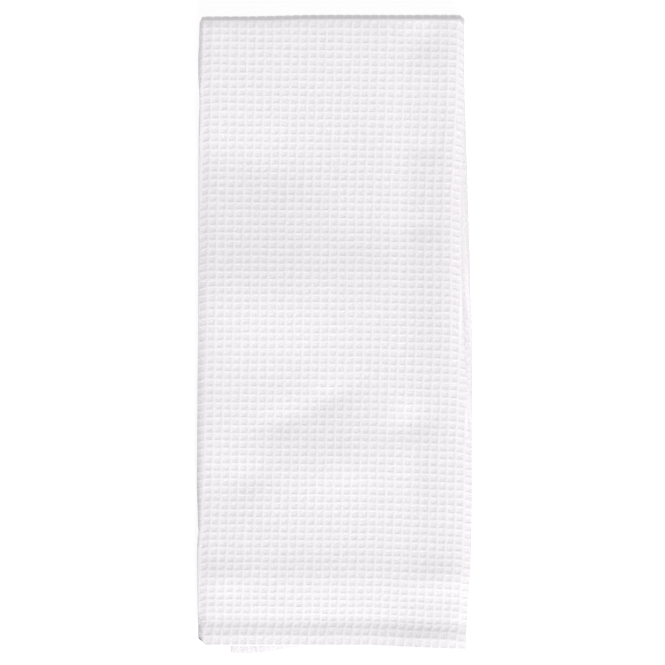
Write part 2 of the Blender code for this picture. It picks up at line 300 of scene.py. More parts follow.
def side_fold_places(along):
    """Where the right and left folds fall across the cloth, this far along from the thick fold."""
    down = HALF_STACK + FACE_REACH * share_down(along, FACE_DEPTH)
    left = read_table(EDGES, "down", "left", down)
    right = read_table(EDGES, "down", "right", down)
    drag = HEM_DRAG * soft_step((along - DRAG_ROW_TOP) / (DRAG_ROW_FOOT - DRAG_ROW_TOP))
    left_line = read_table(WANDERS, "down", "left_column", down) - drag
    right_line = read_table(WANDERS, "down", "right_column", down) - drag
    pitch = (right_line - left_line) / (LEFT_COLUMN - RIGHT_COLUMN)
    stretch = (right - left) / (RIGHT_EDGE - LEFT_EDGE)
    places = []
    for centre in (RIGHT_CENTRE, LEFT_CENTRE):
        settled = left + (centre - LEFT_EDGE) * stretch
        places.append((LEFT_COLUMN - (settled - left_line) / pitch) * CELL_WIDTH)
    return places


along_check = np.linspace(0, HALF_LENGTH, 9)
right_places, left_places = side_fold_places(along_check)
print("right fold falls on column", np.round(right_places / CELL_WIDTH, 1))
print("left fold falls on column", np.round(left_places / CELL_WIDTH, 1))


# %% Sending the flat cloth round the side folds
def fold_reach(angle):
    """How far out a side fold reaches at this angle, as a share. It is fuller than a circle."""
    return np.maximum(np.sin(angle), 0.0) ** SIDE_FULLNESS


def fold_in_thirds(across, along, offset):
    """The point folded in thirds.

    Gives its place sideways, its layer's depth, its own depth, its distance from the last
    third's free edge, and whether it is on the last third.
    """
    right, left = side_fold_places(along)
    face_x = RIGHT_CENTRE - (across - right) / (left - right) * FACE_RUN
    layer = np.full_like(face_x, FACE_DEPTH)
    depth = FACE_DEPTH + offset
    x = face_x.copy()

    in_fold = (across < right) & (across >= right - RIGHT_ARC)
    angle = (across - (right - RIGHT_ARC)) / PITCH
    x = np.where(in_fold, RIGHT_CENTRE + (PITCH + offset) * fold_reach(angle), x)
    depth = np.where(in_fold, FIRST_DEPTH - (PITCH + offset) * np.cos(angle), depth)
    layer = np.where(in_fold, FIRST_DEPTH - PITCH * np.cos(angle), layer)

    in_last = across < right - RIGHT_ARC
    share = share_down(along, LAST_DEPTH)
    amount = (right - RIGHT_ARC - across) * last_run(share) / (right - RIGHT_ARC)
    x = np.where(in_last, RIGHT_CENTRE - amount, x)
    depth = np.where(in_last, LAST_DEPTH - offset, depth)
    layer = np.where(in_last, LAST_DEPTH, layer)
    from_edge = last_run(1.0) - np.where(in_last, amount, 0.0)

    in_fold = (across > left) & (across <= left + LEFT_ARC)
    angle = (across - left) / (PITCH / 2)
    middle = (FIRST_DEPTH + FACE_DEPTH) / 2
    x = np.where(in_fold, LEFT_CENTRE - (PITCH / 2 + offset) * fold_reach(angle), x)
    depth = np.where(in_fold, middle + (PITCH / 2 + offset) * np.cos(angle), depth)
    layer = np.where(in_fold, middle + PITCH / 2 * np.cos(angle), layer)

    in_first = across > left + LEFT_ARC
    share = share_down(along, FIRST_DEPTH)
    room = CLOTH_WIDTH - left - LEFT_ARC
    amount = (across - left - LEFT_ARC) * first_run(share) / room
    x = np.where(in_first, LEFT_CENTRE + amount, x)
    depth = np.where(in_first, FIRST_DEPTH - offset, depth)
    layer = np.where(in_first, FIRST_DEPTH, layer)
    return x, layer, depth, from_edge, in_last


# %% Round the thick fold, and down to where the towel lies
def hem_reach(x):
    """How far the front hem's edge lies below the thick fold's centre line, at this place."""
    slope = HEM_SLOPE * np.maximum(0.0, x - HEM_SLOPE_START)
    return FACE_REACH + slope


def corner_cut(x, share):
    """How much the hem's rounded left corner takes off that, by the share of the way down."""
    cut = HEM_CORNER_RISE * soft_step((LEFT_EDGE + HEM_CORNER - x) / HEM_CORNER)
    return cut * soft_step((share - HEM_CORNER_START) / (1 - HEM_CORNER_START))


def fold_in_half(across, along, offset):
    """The point in the stack before it settles.

    Gives x, the distance down, the height over the middle, and how far it is to the front.
    """
    x, layer, depth, from_edge, in_last = fold_in_thirds(across, np.abs(along), offset)
    bend = math.pi / 2 * layer
    angle = np.clip(along / layer, -math.pi / 2, math.pi / 2)
    reach = hem_reach(x)
    reach = reach + np.where(in_last, read_table(SLIPS, "from_edge", "past_hem", from_edge), 0.0)
    share = (np.abs(along) - bend) / (HALF_LENGTH - bend)
    straight = np.abs(along) > bend
    bent_down = HALF_STACK - depth * np.cos(angle) ** FOLD_FULLNESS
    down = np.where(straight, HALF_STACK + reach * share - corner_cut(x, share), bent_down)
    over_middle = np.where(straight, np.sign(along) * depth, depth * np.sin(angle))
    return x, down, over_middle, 0.5 + 0.5 * np.sin(angle)


def crease_height(crease, x, down):
    """A soft ridge or trough, by its own spread along and across."""
    turn = math.radians(crease.turn)
    along = (x - crease.x) * math.cos(turn) + (down - crease.down) * math.sin(turn)
    across = (down - crease.down) * math.cos(turn) - (x - crease.x) * math.sin(turn)
    return crease.height * np.exp(-((along / crease.along) ** 2) - (across / crease.across) ** 2)


def stack_height(x, down):
    """The settled stack's thickness at this place, which is the height of its top."""
    left = read_table(EDGES, "down", "left", down)
    right = read_table(EDGES, "down", "right", down)
    upward = HALF_STACK + hem_reach(x) - corner_cut(x, 1.0) - down
    inward = np.maximum(0.0, np.minimum(x - left, right - x))
    height = FLAT_STACK + sum(crease_height(crease, x, down) for crease in CREASES)
    height = height + TOP_SWELL * np.exp(-((down / TOP_SWELL_FADE) ** 2))
    height = height - SEAM_DIP * np.exp(-(((upward - HEM) / SEAM_DIP_WIDTH) ** 2))
    height = height - SIDE_DROP * (1 - soft_step(inward / SIDE_ROLL)) ** 2
    height = height - END_DROP * (1 - soft_step((upward + END_START) / END_ROLL))
    return np.maximum(height, LEAST_STACK)


def in_hem(from_edge):
    """1 on a side hem, 0 off it, by the distance from the cloth's free edge."""
    rise = soft_step((from_edge + HEM_EASE) / HEM_EASE)
    fall = soft_step((HEM + HEM_EASE - from_edge) / (2 * HEM_EASE))
    return rise * fall


def settle(x, down, over_middle, front_share):
    """Moves a point of the even stack to where the soft towel lies, with nothing crossing."""
    back_left = read_table(EDGES, "down", "back_left", down)
    back_right = read_table(EDGES, "down", "back_right", down)
    left = back_left + (read_table(EDGES, "down", "left", down) - back_left) * front_share
    right = back_right + (read_table(EDGES, "down", "right", down) - back_right) * front_share
    settled_x = left + (x - LEFT_EDGE) * (right - left) / (RIGHT_EDGE - LEFT_EDGE)

    share = np.clip((down - HALF_STACK) / FACE_REACH, 0.0, 1.0)
    last_hem = in_hem(x - (RIGHT_CENTRE - last_run(share)))
    first_hem = in_hem(LEFT_CENTRE + first_run(share) - x)

    def thickened(depth):
        last_part = last_hem * np.minimum(depth / PITCH, 1.0)
        first_part = first_hem * np.clip(depth / PITCH - 1.0, 0.0, 1.0)
        return depth + HEM_EXTRA * (last_part + first_part)

    part = thickened(np.abs(over_middle)) / thickened(HALF_STACK)
    middle = stack_height(settled_x, down) / 2
    leftness = soft_step((TOP_LEAN_START - settled_x) / TOP_LEAN_WIDTH)
    down = down + TOP_LEAN * leftness * (1 - soft_step(down / TOP_LEAN_FADE))
    return settled_x, down, middle * (1 + np.copysign(part, over_middle))


# %% [markdown]
# ## From a place on the cloth to a place in the room
#
# One function joins the steps, and the cloth and its stitches both use it. It also adds what
# handling does to a loose weave: the rows sag a little where they roll over the side folds, the
# hem's stitches draw the rows in, and the whole grid waves by a fraction of a millimetre.

# %% The towel's one shape rule
SAG = 1.1 * MM
SAG_WIDTH = 4 * MM
SAG_START = 4 * MM
SAG_EASE = 8 * MM
HEM_STILL = 6 * MM
OUTLINE_LENGTH = 355 * MM
WAVE = 0.09 * MM
Wave = namedtuple("Wave", "sideways across along phase size")
WAVES = (
    Wave(True, 31 * MM, 23 * MM, 0.4, 1.0),
    Wave(True, -17 * MM, 41 * MM, 2.1, 0.8),
    Wave(True, 67 * MM, 13.7 * MM, 4.0, 0.6),
    Wave(False, 27 * MM, -35 * MM, 1.3, 1.0),
    Wave(False, 14.3 * MM, 57 * MM, 3.2, 0.7),
    Wave(False, 45 * MM, 19 * MM, 5.2, 0.8),
)


def loose_weave(across, along):
    """How far handling has moved this place of the cloth, sideways and lengthwise."""
    moves = {True: 0.0, False: 0.0}
    for wave in WAVES:
        swing = 2 * math.pi * (across / wave.across + along / wave.along) + wave.phase
        moves[wave.sideways] = moves[wave.sideways] + WAVE * wave.size * np.sin(swing)
    return moves[True], moves[False]


def hem_fade(along):
    """1 on the open cloth and 0 at the hems' edges, so that waves leave the outline alone."""
    return soft_step((HALF_LENGTH - np.abs(along)) / HEM_STILL)


def raw_point(across, along, offset):
    """A point of the cloth before it is centred: x, distance down and height."""
    right, left = side_fold_places(np.abs(along))
    from_right = np.abs(across - right + RIGHT_ARC / 2) - RIGHT_ARC / 2
    from_left = np.abs(across - left - LEFT_ARC / 2) - LEFT_ARC / 2
    near_fold = np.minimum(from_right, from_left)
    sag = SAG * (1 - soft_step(near_fold / SAG_WIDTH))
    sag = sag * soft_step((np.abs(along) - SAG_START) / SAG_EASE) * hem_fade(along)
    to_right = np.clip((left - across) / (left - right), 0.0, 1.0)
    left_pull = read_table(PULLS, "along", "left", np.abs(along))
    pull = left_pull + (read_table(PULLS, "along", "right", np.abs(along)) - left_pull) * to_right
    sideways, lengthwise = loose_weave(across, along)
    fade = hem_fade(along)
    moved_across = np.clip(across + sideways * fade, 0.0, CLOTH_WIDTH)
    moved_along = along + np.sign(along) * (sag - pull) + lengthwise * fade
    moved_along = np.clip(moved_along, -HALF_LENGTH, HALF_LENGTH)
    return settle(*fold_in_half(moved_across, moved_along, offset))


def outline_sides():
    """The leftmost and rightmost places of the uncentred outline."""
    down = np.linspace(0, OUTLINE_LENGTH, 200)
    left = [read_table(EDGES, "down", key, down).min() for key in ("left", "back_left")]
    right = [read_table(EDGES, "down", key, down).max() for key in ("right", "back_right")]
    return min(left), max(right)


# The thick fold lies at the far end of the CAD part's box, and the outline's middle at x = 0.
cad_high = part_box("dish_towel")[1]
outline_left, outline_right = outline_sides()
MIDDLE_X = (outline_left + outline_right) / 2
THICK_FOLD_Y = cad_high[1]
print(f"the outline's middle is at {MIDDLE_X / MM:.2f} mm before it is centred")


def towel_point(across, along, offset):
    """Points of the finished cloth in the room, as an array of x, y, z."""
    x, down, z = raw_point(across, along, offset)
    return np.stack([x - MIDDLE_X, THICK_FOLD_Y - down, z], axis=-1)


# %% [markdown]
# ## The sheet's mesh
#
# Cells need several faces each to look sunken, but a towel has nearly fourteen thousand of them
# and most are hidden inside the folds. So the mesh is dense only where it can be seen: the face
# and the folds get a fine grid that follows every rib, the underside a plain one, and the hidden
# layers one face to a few cells. All of them take their corners from one master grid, and a
# coarse face also uses every fine corner that lies on its edge, so the sheet stays closed.

# %% The master grid
FINE_ACROSS = (-1.0, -0.78, -0.54, 0.0, 0.54, 0.78, 1.0)
FINE_ALONG = (-1.0, -0.76, -0.5, 0.0, 0.5, 0.76, 1.0)
HEM_GROOVE = 0.45 * MM
SIDES = ("right", "wrong")
Zone = namedtuple("Zone", "side columns rows across along")


def grid_lines(cells, places, extra):
    """Each line as a distance in cells, in order, and the line's place within its cell."""
    lines = {round(cell + (1 + place) / 2, 6) for cell in range(cells) for place in places}
    return np.array(sorted(lines | {round(line, 6) for line in extra}))


hem_lines = [(HEM + move) / CELL_WIDTH for move in (-HEM_GROOVE, 0, HEM_GROOVE)]
column_lines = grid_lines(COLUMNS, FINE_ACROSS, hem_lines)
row_lines = grid_lines(ROWS, FINE_ALONG, [])
print(len(column_lines), "lines across the cloth and", len(row_lines), "along it")

# %% The zones, from dense to plain
RIBS = (-0.78, -0.54, 0.54, 0.78)
HALVES = (0.0,)
PITS = (-0.76, -0.5, 0.5, 0.76)
FOLD_ROWS = (80, 87)
FACE_COLUMNS = (26, 60)
BACK_COLUMNS = (31, 57)
TAB_COLUMNS = 20
TAB_ROWS = 3
TWO_CELLS = 2
ONE_CELL = 1
Spacing = namedtuple("Spacing", "every within")


def zone_table():
    """Every zone of both sides: which cells it covers, and how finely."""
    first, last = FACE_COLUMNS
    left_back, right_back = BACK_COLUMNS
    bend_start, bend_end = FOLD_ROWS
    fine_across = Spacing(ONE_CELL, RIBS)
    fine_along = Spacing(ONE_CELL, PITS)
    half = Spacing(ONE_CELL, HALVES)
    cell = Spacing(ONE_CELL, ())
    plain = Spacing(TWO_CELLS, ())
    right = [
        Zone("right", (first, last), (bend_start, ROWS), fine_across, fine_along),
        Zone("right", (first, left_back), (0, bend_start), fine_across, half),
        Zone("right", (left_back, right_back), (0, bend_start), half, cell),
        Zone("right", (right_back, last), (0, bend_start), fine_across, half),
    ]
    for columns in ((0, first), (last, COLUMNS)):
        right.append(Zone("right", columns, (0, bend_start), plain, plain))
        right.append(Zone("right", columns, (bend_start, bend_end), plain, fine_along))
        right.append(Zone("right", columns, (bend_end, ROWS), plain, plain))
    tab_start = ROWS - TAB_ROWS
    wrong = [
        Zone("wrong", (0, TAB_COLUMNS), (tab_start, ROWS), fine_across, fine_along),
        Zone("wrong", (0, TAB_COLUMNS), (bend_end, tab_start), plain, plain),
        Zone("wrong", (TAB_COLUMNS, first), (bend_end, ROWS), plain, plain),
        Zone("wrong", (first, left_back), (bend_end, ROWS), half, cell),
        Zone("wrong", (left_back, right_back), (bend_end, ROWS), cell, cell),
        Zone("wrong", (right_back, last), (bend_end, ROWS), half, cell),
        Zone("wrong", (last, COLUMNS), (bend_end, ROWS), plain, plain),
    ]
    strips = ((0, first, plain), (first, left_back, half), (left_back, right_back, plain))
    strips += ((right_back, last, half), (last, COLUMNS, plain))
    for start, end, across in strips:
        wrong.append(Zone("wrong", (start, end), (0, bend_start), across, plain))
        wrong.append(Zone("wrong", (start, end), (bend_start, bend_end), across, half))
    return right + wrong


ZONES = zone_table()
print(len(ZONES), "zones")


# %% From zones to faces
def zone_lines(lines, cells, spacing):
    """The master lines that a zone uses between two cells."""
    start, end = cells
    wanted = set(range(start, end, spacing.every)) | {end}
    wanted = {float(cell) for cell in wanted}
    for place in spacing.within:
        wanted |= {round(cell + (1 + place) / 2, 6) for cell in range(start, end)}
    return np.array([i for i, line in enumerate(lines) if float(line) in wanted])


def zone_grid(zone):
    """The zone's master columns and rows."""
    across = zone_lines(column_lines, zone.columns, zone.across)
    if zone.side == "wrong" and zone.rows[0] >= ROWS - TAB_ROWS:
        extra = [int(np.argmin(np.abs(column_lines - line))) for line in hem_lines]
        across = np.array(sorted(set(across) | set(extra)))
    along = zone_lines(row_lines, zone.rows, zone.along)
    return across, along


def mark_corners():
    """For each side, which crossings of the master grid are corners of a face."""
    shape = (len(column_lines), len(row_lines))
    used = {side: np.zeros(shape, bool) for side in SIDES}
    for zone in ZONES:
        across, along = zone_grid(zone)
        used[zone.side][np.ix_(across, along)] = True
    for edge in (np.s_[0, :], np.s_[-1, :], np.s_[:, 0], np.s_[:, -1]):
        either = used["right"][edge] | used["wrong"][edge]
        used["right"][edge] = either
        used["wrong"][edge] = either
    return used


def face_loop(used, i0, i1, j0, j1):
    """The crossings round one face, with every finer one on its edges, from its low corner."""
    foot = [(i, j0) for i in range(i0, i1) if used[i, j0]]
    right = [(i1, j) for j in range(j0, j1) if used[i1, j]]
    top = [(i, j1) for i in range(i1, i0, -1) if used[i, j1]]
    left = [(i0, j) for j in range(j1, j0, -1) if used[i0, j]]
    return foot + right + top + left


corners_used = mark_corners()
print({side: int(used.sum()) for side, used in corners_used.items()}, "corners")

# %% [markdown]
# ## Placing the corners
#
# Each corner gets its place from the shape rule, the direction towards the right side of the
# cloth, and how deep the cell under it sinks. Cells are flattened where the cloth rolls over a
# side fold. Round the thick fold, and behind the right side fold, they do the opposite: the ribs
# are pulled tight and the cells puff out between them, which gives those edges their small
# scallops.

# %% Depth of the cells over the folds
CELL_DEPTH = 0.185 * MM
ROLL_WIDTH = 4.6 * MM
ROLL_LEFT = 0.12
ROLL_RIGHT = 0.6
RIGHT_ROLL_START = 0.4 * RIGHT_ARC
LEFT_ROLL_START = 0.5 * LEFT_ARC
PUFF = 1.4
LEAST_PUFF = 0.2
PUFF_START = math.radians(28)
PUFF_EASE = math.radians(55)
BACK_PUFF = 1.5
BACK_PUFF_START = 0.5 * RIGHT_ARC
BACK_PUFF_EASE = 20 * MM
TAB_DEPTH = 0.3 * MM
TAB_LENGTH = 14 * MM
TAB_EASE = 3 * MM
TAB_FADE_START = 9 * CELL_WIDTH
TAB_FADE = 9 * CELL_WIDTH


def cell_sink(side, across, along):
    """How deep the cells sink here, in metres, and less than nothing where they puff out."""
    if side == "wrong":
        near_foot = soft_step((along - HALF_LENGTH + TAB_LENGTH) / TAB_EASE)
        fade = 1 - soft_step((across - TAB_FADE_START) / TAB_FADE)
        return -TAB_DEPTH * near_foot * fade
    right, left = side_fold_places(np.abs(along))
    inside_right = soft_step((across - right + RIGHT_ROLL_START) / ROLL_WIDTH)
    inside_left = soft_step((left + LEFT_ROLL_START - across) / ROLL_WIDTH)
    share_right = ROLL_RIGHT + (1 - ROLL_RIGHT) * inside_right
    share_left = ROLL_LEFT + (1 - ROLL_LEFT) * inside_left
    angle = np.abs(along) / FACE_DEPTH
    bend = 1 - soft_step((angle - PUFF_START) / PUFF_EASE)
    puff = PUFF * bend * np.minimum(inside_left + LEAST_PUFF, 1)
    share = share_right * share_left * (1 - bend) - puff
    behind_right = soft_step((right - across) / BACK_PUFF_START) * (1 - bend)
    behind_right = (along < 0) * behind_right * soft_step(-along / BACK_PUFF_EASE)
    return CELL_DEPTH * (share * (1 - behind_right) - BACK_PUFF * behind_right)


# %% Corners of the two sides and the rim
RIM_BULGE = 0.4 * MM
RIM_STEP = 1 * MM
NEAR_ENOUGH = 0.001 * MM
PUFF_CLEARANCE = 2 * MM
GROOVE_WIDTH = 0.9 * HEM_GROOVE
GROOVE_DEPTH = 0.55 * MM
BAKE_WIDTH = 0.84
BAKE_MARGIN = 0.004
WRONG_BAKE_START = CLOTH_WIDTH + 2 * BAKE_MARGIN + 0.004
Corners = namedtuple("Corners", "place outward sink flat bake")


def flat_place(i, j):
    """Where a crossing of the master grid is on the flat cloth."""
    return column_lines[i] * CELL_WIDTH, row_lines[j] * CELL_HEIGHT - HALF_LENGTH


def side_corners(side):
    """The crossings used on one side, and their corners."""
    i, j = np.nonzero(corners_used[side])
    across, along = flat_place(i, j)
    offset = SHEET / 2 if side == "right" else -SHEET / 2
    place = towel_point(across, along, offset)
    other = towel_point(across, along, -offset)
    outward = (place - other) / np.linalg.norm(place - other, axis=-1, keepdims=True)
    sink = cell_sink(side, across, along)
    sink = np.where(sink < 0, sink * soft_step(place[:, 2] / PUFF_CLEARANCE), sink)
    if side == "wrong":
        on_tab = along > HALF_LENGTH - TAB_ROWS * CELL_HEIGHT + CELL_HEIGHT / 2
        groove = np.maximum(0.0, 1 - np.abs(across - HEM) / GROOVE_WIDTH) * on_tab
        place = place - outward * (groove * GROOVE_DEPTH)[:, None]
    shift = 0.0 if side == "right" else WRONG_BAKE_START
    flat = np.stack([across, along], axis=-1)
    return (i, j), Corners(place, outward, sink, flat, flat + [shift, 0.0])


def rim_loop(used):
    """The crossings round the rim, in order."""
    last_i, last_j = len(column_lines) - 1, len(row_lines) - 1
    loop = [(i, 0) for i in range(last_i) if used[i, 0]]
    loop += [(last_i, j) for j in range(last_j) if used[last_i, j]]
    loop += [(i, last_j) for i in range(last_i, 0, -1) if used[i, last_j]]
    loop += [(0, j) for j in range(last_j, 0, -1) if used[0, j]]
    return loop


def rim_corners(loop):
    """The corners round the rim, between the two sides and a little further out."""
    across, along = flat_place(*np.transpose(loop))
    middle = towel_point(across, along, 0.0)
    inner_across = np.clip(across, RIM_STEP, CLOTH_WIDTH - RIM_STEP)
    inner_along = np.clip(along, -HALF_LENGTH + RIM_STEP, HALF_LENGTH - RIM_STEP)
    away = middle - towel_point(inner_across, inner_along, 0.0)
    away = away / np.linalg.norm(away, axis=-1, keepdims=True)
    at_far_side = across >= CLOTH_WIDTH - NEAR_ENOUGH
    at_front_hem = along >= HALF_LENGTH - NEAR_ENOUGH
    at_back_hem = along <= -HALF_LENGTH + NEAR_ENOUGH
    outer_across = across + (at_far_side * 1.0 - (across <= 0)) * RIM_STEP
    outer_along = along + (at_front_hem * 1.0 - at_back_hem) * RIM_STEP
    flat = np.stack([outer_across, outer_along], axis=-1)
    return Corners(middle + away * RIM_BULGE, away, np.zeros(len(loop)), flat, flat)


print("the rim has", len(rim_loop(corners_used["right"])), "corners")


# %% Joining the corners into a closed sheet
def wind(face, side):
    """A face's corners in the order that makes it look out of the cloth."""
    return face if side == "right" else face[::-1]


def zone_faces(zone, numbers):
    """A zone's faces, each with its side and its corners' numbers in order."""
    across_lines, along_lines = zone_grid(zone)
    for i0, i1 in zip(across_lines, across_lines[1:]):
        for j0, j1 in zip(along_lines, along_lines[1:]):
            loop = face_loop(corners_used[zone.side], i0, i1, j0, j1)
            face = [int(numbers[zone.side][crossing]) for crossing in loop]
            yield zone.side, wind(face, zone.side)


def rim_faces(loop, numbers, first):
    """The faces between each side and the rim, whose corners are numbered from the first."""
    for n, here in enumerate(loop):
        there = (n + 1) % len(loop)
        for side in SIDES:
            a, b = int(numbers[side][here]), int(numbers[side][loop[there]])
            yield side, wind([a, first + n, first + there, b], side)


def build_sheet():
    """The towel's corners, its faces, and the number of the rim's first corner."""
    numbers, parts, count = {}, [], 0
    for side in SIDES:
        crossings, corners = side_corners(side)
        numbers[side] = np.full(corners_used[side].shape, -1, int)
        numbers[side][crossings] = count + np.arange(len(corners.sink))
        parts.append(corners)
        count += len(corners.sink)
    loop = rim_loop(corners_used["right"])
    parts.append(rim_corners(loop))
    faces = [face for zone in ZONES for face in zone_faces(zone, numbers)]
    faces += rim_faces(loop, numbers, count)
    return Corners(*(np.concatenate(part) for part in zip(*parts))), faces, count


sheet, sheet_faces, first_rim_corner = build_sheet()
triangles = sum(len(face) - 2 for side, face in sheet_faces)
print(f"{len(sheet.place)} corners, {len(sheet_faces)} faces, {triangles} triangles")


# %% The mesh object, with its cloth places as UV maps
def add_attribute(mesh, name, kind, field, values):
    """A value for each corner of the mesh, that a tree can read by name."""
    attribute = mesh.attributes.new(name, kind, "POINT")
    attribute.data.foreach_set(field, values.astype(np.float32).ravel())


def add_uv_map(mesh, name, places):
    """A UV map from a place for each corner of each face."""
    uv_map = mesh.uv_layers.new(name=name)
    uv_map.data.foreach_set("uv", places.astype(np.float32).ravel())


def cloth_object():
    mesh = bpy.data.meshes.new("waffle_towel")
    mesh.from_pydata(sheet.place.tolist(), [], [face for side, face in sheet_faces])
    mesh.update()
    flat_places = np.column_stack([sheet.flat, np.zeros(len(sheet.flat))])
    add_attribute(mesh, "outward", "FLOAT_VECTOR", "vector", sheet.outward)
    add_attribute(mesh, "cloth_place", "FLOAT_VECTOR", "vector", flat_places)
    add_attribute(mesh, "cell_sink", "FLOAT", "value", sheet.sink)
    corner = np.zeros(len(mesh.loops), np.int32)
    mesh.loops.foreach_get("vertex_index", corner)
    add_uv_map(mesh, "weave", sheet.flat[corner])
    wrong_side = [side == "wrong" for side, face in sheet_faces]
    wrong_side = np.repeat(wrong_side, [len(face) for side, face in sheet_faces])
    shift = np.where(wrong_side & (corner >= first_rim_corner), WRONG_BAKE_START, 0.0)
    bake = sheet.bake[corner] + np.column_stack([shift, np.zeros(len(shift))])
    add_uv_map(mesh, "OFBake", (bake + [BAKE_MARGIN, HALF_LENGTH + BAKE_MARGIN]) / BAKE_WIDTH)
    mesh.uv_layers.active = mesh.uv_layers["weave"]
    mesh.shade_smooth()
    towel = bpy.data.objects.new("folded_towel", mesh)
    bpy.context.scene.collection.objects.link(towel)
    return towel


folded_towel = cloth_object()
edge_check = bmesh.new()
edge_check.from_mesh(folded_towel.data)
open_edges = sum(1 for edge in edge_check.edges if not edge.is_manifold)
cloth_volume = edge_check.calc_volume(signed=True)
edge_check.free()
print(f"{open_edges} open edges, volume {cloth_volume * 1e6:.0f} cm3")

# %% [markdown]
# ## The cotton
#
# Bleached cotton is a matt white with a soft sheen from its fuzz. Seen close, each rib is a
# bundle of long floating threads, and each cell's floor is a plain over-and-under weave. Those
# threads are under half a millimetre thick, so they are bump and not mesh. A picture of cloth
# could be wrapped on, but the threads here are worked out from each point's place on the cloth,
# so that they run true round every fold. The slubs and the fuzz follow no rule, so they are
# noise. The colour also carries painted shade: the cells are painted a little darker and greyer
# than the ribs, and painted shade falls in random dark specks, as in the hollows between
# threads, mostly in the cells.

# %% Small helpers for building node trees
def add_node(tree, kind, **settings):
    """A new node with its properties set by name."""
    node = tree.nodes.new(kind)
    for name, value in settings.items():
        setattr(node, name, value)
    return node


def feed(tree, socket, value):
    """Links an output into a socket, or sets the socket's own value."""
    if isinstance(value, bpy.types.NodeSocket):
        tree.links.new(value, socket)
    else:
        socket.default_value = value


def do_math(tree, operation, *values):
    """One Math node, and its output."""
    node = add_node(tree, "ShaderNodeMath", operation=operation)
    for socket, value in zip(node.inputs, values):
        feed(tree, socket, value)
    return node.outputs[0]


def smooth_range(tree, value, low, high):
    """An S curve, 0 up to the low limit and 1 from the high one."""
    node = add_node(tree, "ShaderNodeMapRange", interpolation_type="SMOOTHSTEP")
    for name, given in (("Value", value), ("From Min", low), ("From Max", high)):
        feed(tree, node.inputs[name], given)
    return node.outputs[0]


def split_vector(tree, vector):
    """The X and Y of a vector."""
    node = add_node(tree, "ShaderNodeSeparateXYZ")
    feed(tree, node.inputs[0], vector)
    return node.outputs[0], node.outputs[1]


def cell_position(tree, place, cell_size):
    """Distance from a cell's centre line, 0 there and 1 on the rib."""
    in_cells = do_math(tree, "DIVIDE", place, cell_size)
    within = do_math(tree, "FRACT", in_cells)
    centred = do_math(tree, "SUBTRACT", within, 0.5)
    return do_math(tree, "MULTIPLY", do_math(tree, "ABSOLUTE", centred), 2.0)


# %% Small helpers for finishes
def new_finish(name):
    """A new material, its tree and its shader."""
    material = bpy.data.materials.new(name)
    material.use_nodes = True
    return material, material.node_tree, material.node_tree.nodes["Principled BSDF"]


def add_noise(tree, place, scale, detail):
    """Cloudy values round a half, at this many clouds to the metre."""
    node = add_node(tree, "ShaderNodeTexNoise", noise_dimensions="3D")
    feed(tree, node.inputs["Vector"], place)
    node.inputs["Scale"].default_value = scale
    node.inputs["Detail"].default_value = detail
    return node.outputs["Fac"]


def blend_numbers(tree, share, first, second):
    node = add_node(tree, "ShaderNodeMix", data_type="FLOAT")
    for socket, value in zip((0, 2, 3), (share, first, second)):
        feed(tree, node.inputs[socket], value)
    return node.outputs[0]


def blend_colours(tree, share, first, second):
    node = add_node(tree, "ShaderNodeMix", data_type="RGBA", clamp_factor=True)
    for socket, value in zip((0, 6, 7), (share, first, second)):
        feed(tree, node.inputs[socket], value)
    return node.outputs[2]


def add_bump(tree, shader, height, strength, distance):
    """Small relief on a finish, where real shape would be too fine."""
    node = add_node(tree, "ShaderNodeBump")
    node.inputs["Strength"].default_value = strength
    node.inputs["Distance"].default_value = distance
    feed(tree, node.inputs["Height"], height)
    feed(tree, shader.inputs["Normal"], node.outputs["Normal"])


print("finishes are built from Principled BSDF, noise, blends and bump")

# %% Threads as a height pattern
THREAD_ACROSS = CELL_WIDTH / 12
THREAD_ALONG = CELL_HEIGHT / 11
THREAD_HEIGHT = 0.16 * MM
THREAD_BUMP = 0.6
RIB_CORNER = 0.12    # how softly the threads change direction where two ribs meet
CREST_START = 0.6    # places within a cell, from 0 at its centre line to 1 on the rib
CREST_END = 0.84
PLAIN_END = 0.3
FLOATS_START = 0.6
ROUGHNESS = 0.84
FUZZ_ROUGHNESS = 0.12
FUZZ_SCALE = 1500.0
FUZZ_SHARE = 0.9
SLUB_SCALE = 1700.0
SLUB_SHARE = 4.0


def thread_wave(tree, place, spacing):
    """Round ridges, one for each thread, from 0 to 1."""
    turns = do_math(tree, "MULTIPLY", place, 2 * math.pi / spacing)
    wave = do_math(tree, "SINE", turns)
    return do_math(tree, "MULTIPLY_ADD", wave, 0.5, 0.5)


def thread_pattern(tree, across, along, beside_rib, beside_cross_rib, outermost):
    """Long floats along the ribs and a plain weave on the cells' floors."""
    warp = thread_wave(tree, across, THREAD_ACROSS)
    weft = thread_wave(tree, along, THREAD_ALONG)
    lead = do_math(tree, "SUBTRACT", beside_rib, beside_cross_rib)
    floats = blend_numbers(tree, smooth_range(tree, lead, -RIB_CORNER, RIB_CORNER), weft, warp)
    plain = do_math(tree, "MULTIPLY", warp, weft)
    raised = smooth_range(tree, outermost, PLAIN_END, FLOATS_START)
    return blend_numbers(tree, raised, plain, floats)


# %% The cotton's colour, with painted shade in the cells
CLOTH_COLOUR = (0.87, 0.848, 0.87, 1.0)
# The cells' colour is painted shade: a darker, greyer white that stands in for the shade inside the
# sunken cells.
PIT_SHADE_COLOUR = (0.828, 0.802, 0.826, 1.0)
PIT_SHADE_SHARE = 0.7
MOTTLE_SCALE = 260.0
MOTTLE_SHARE = 0.9
# The speckles are painted shade too: random dark specks for the shade in the hollows between
# threads, stronger in the cells than on the ribs.
SPECKLE_SCALE = 1300.0
SPECKLE_START = 0.36
SPECKLE_END = 0.56
SPECKLE_SHADE = 0.1
SPECKLE_ON_RIBS = 0.3


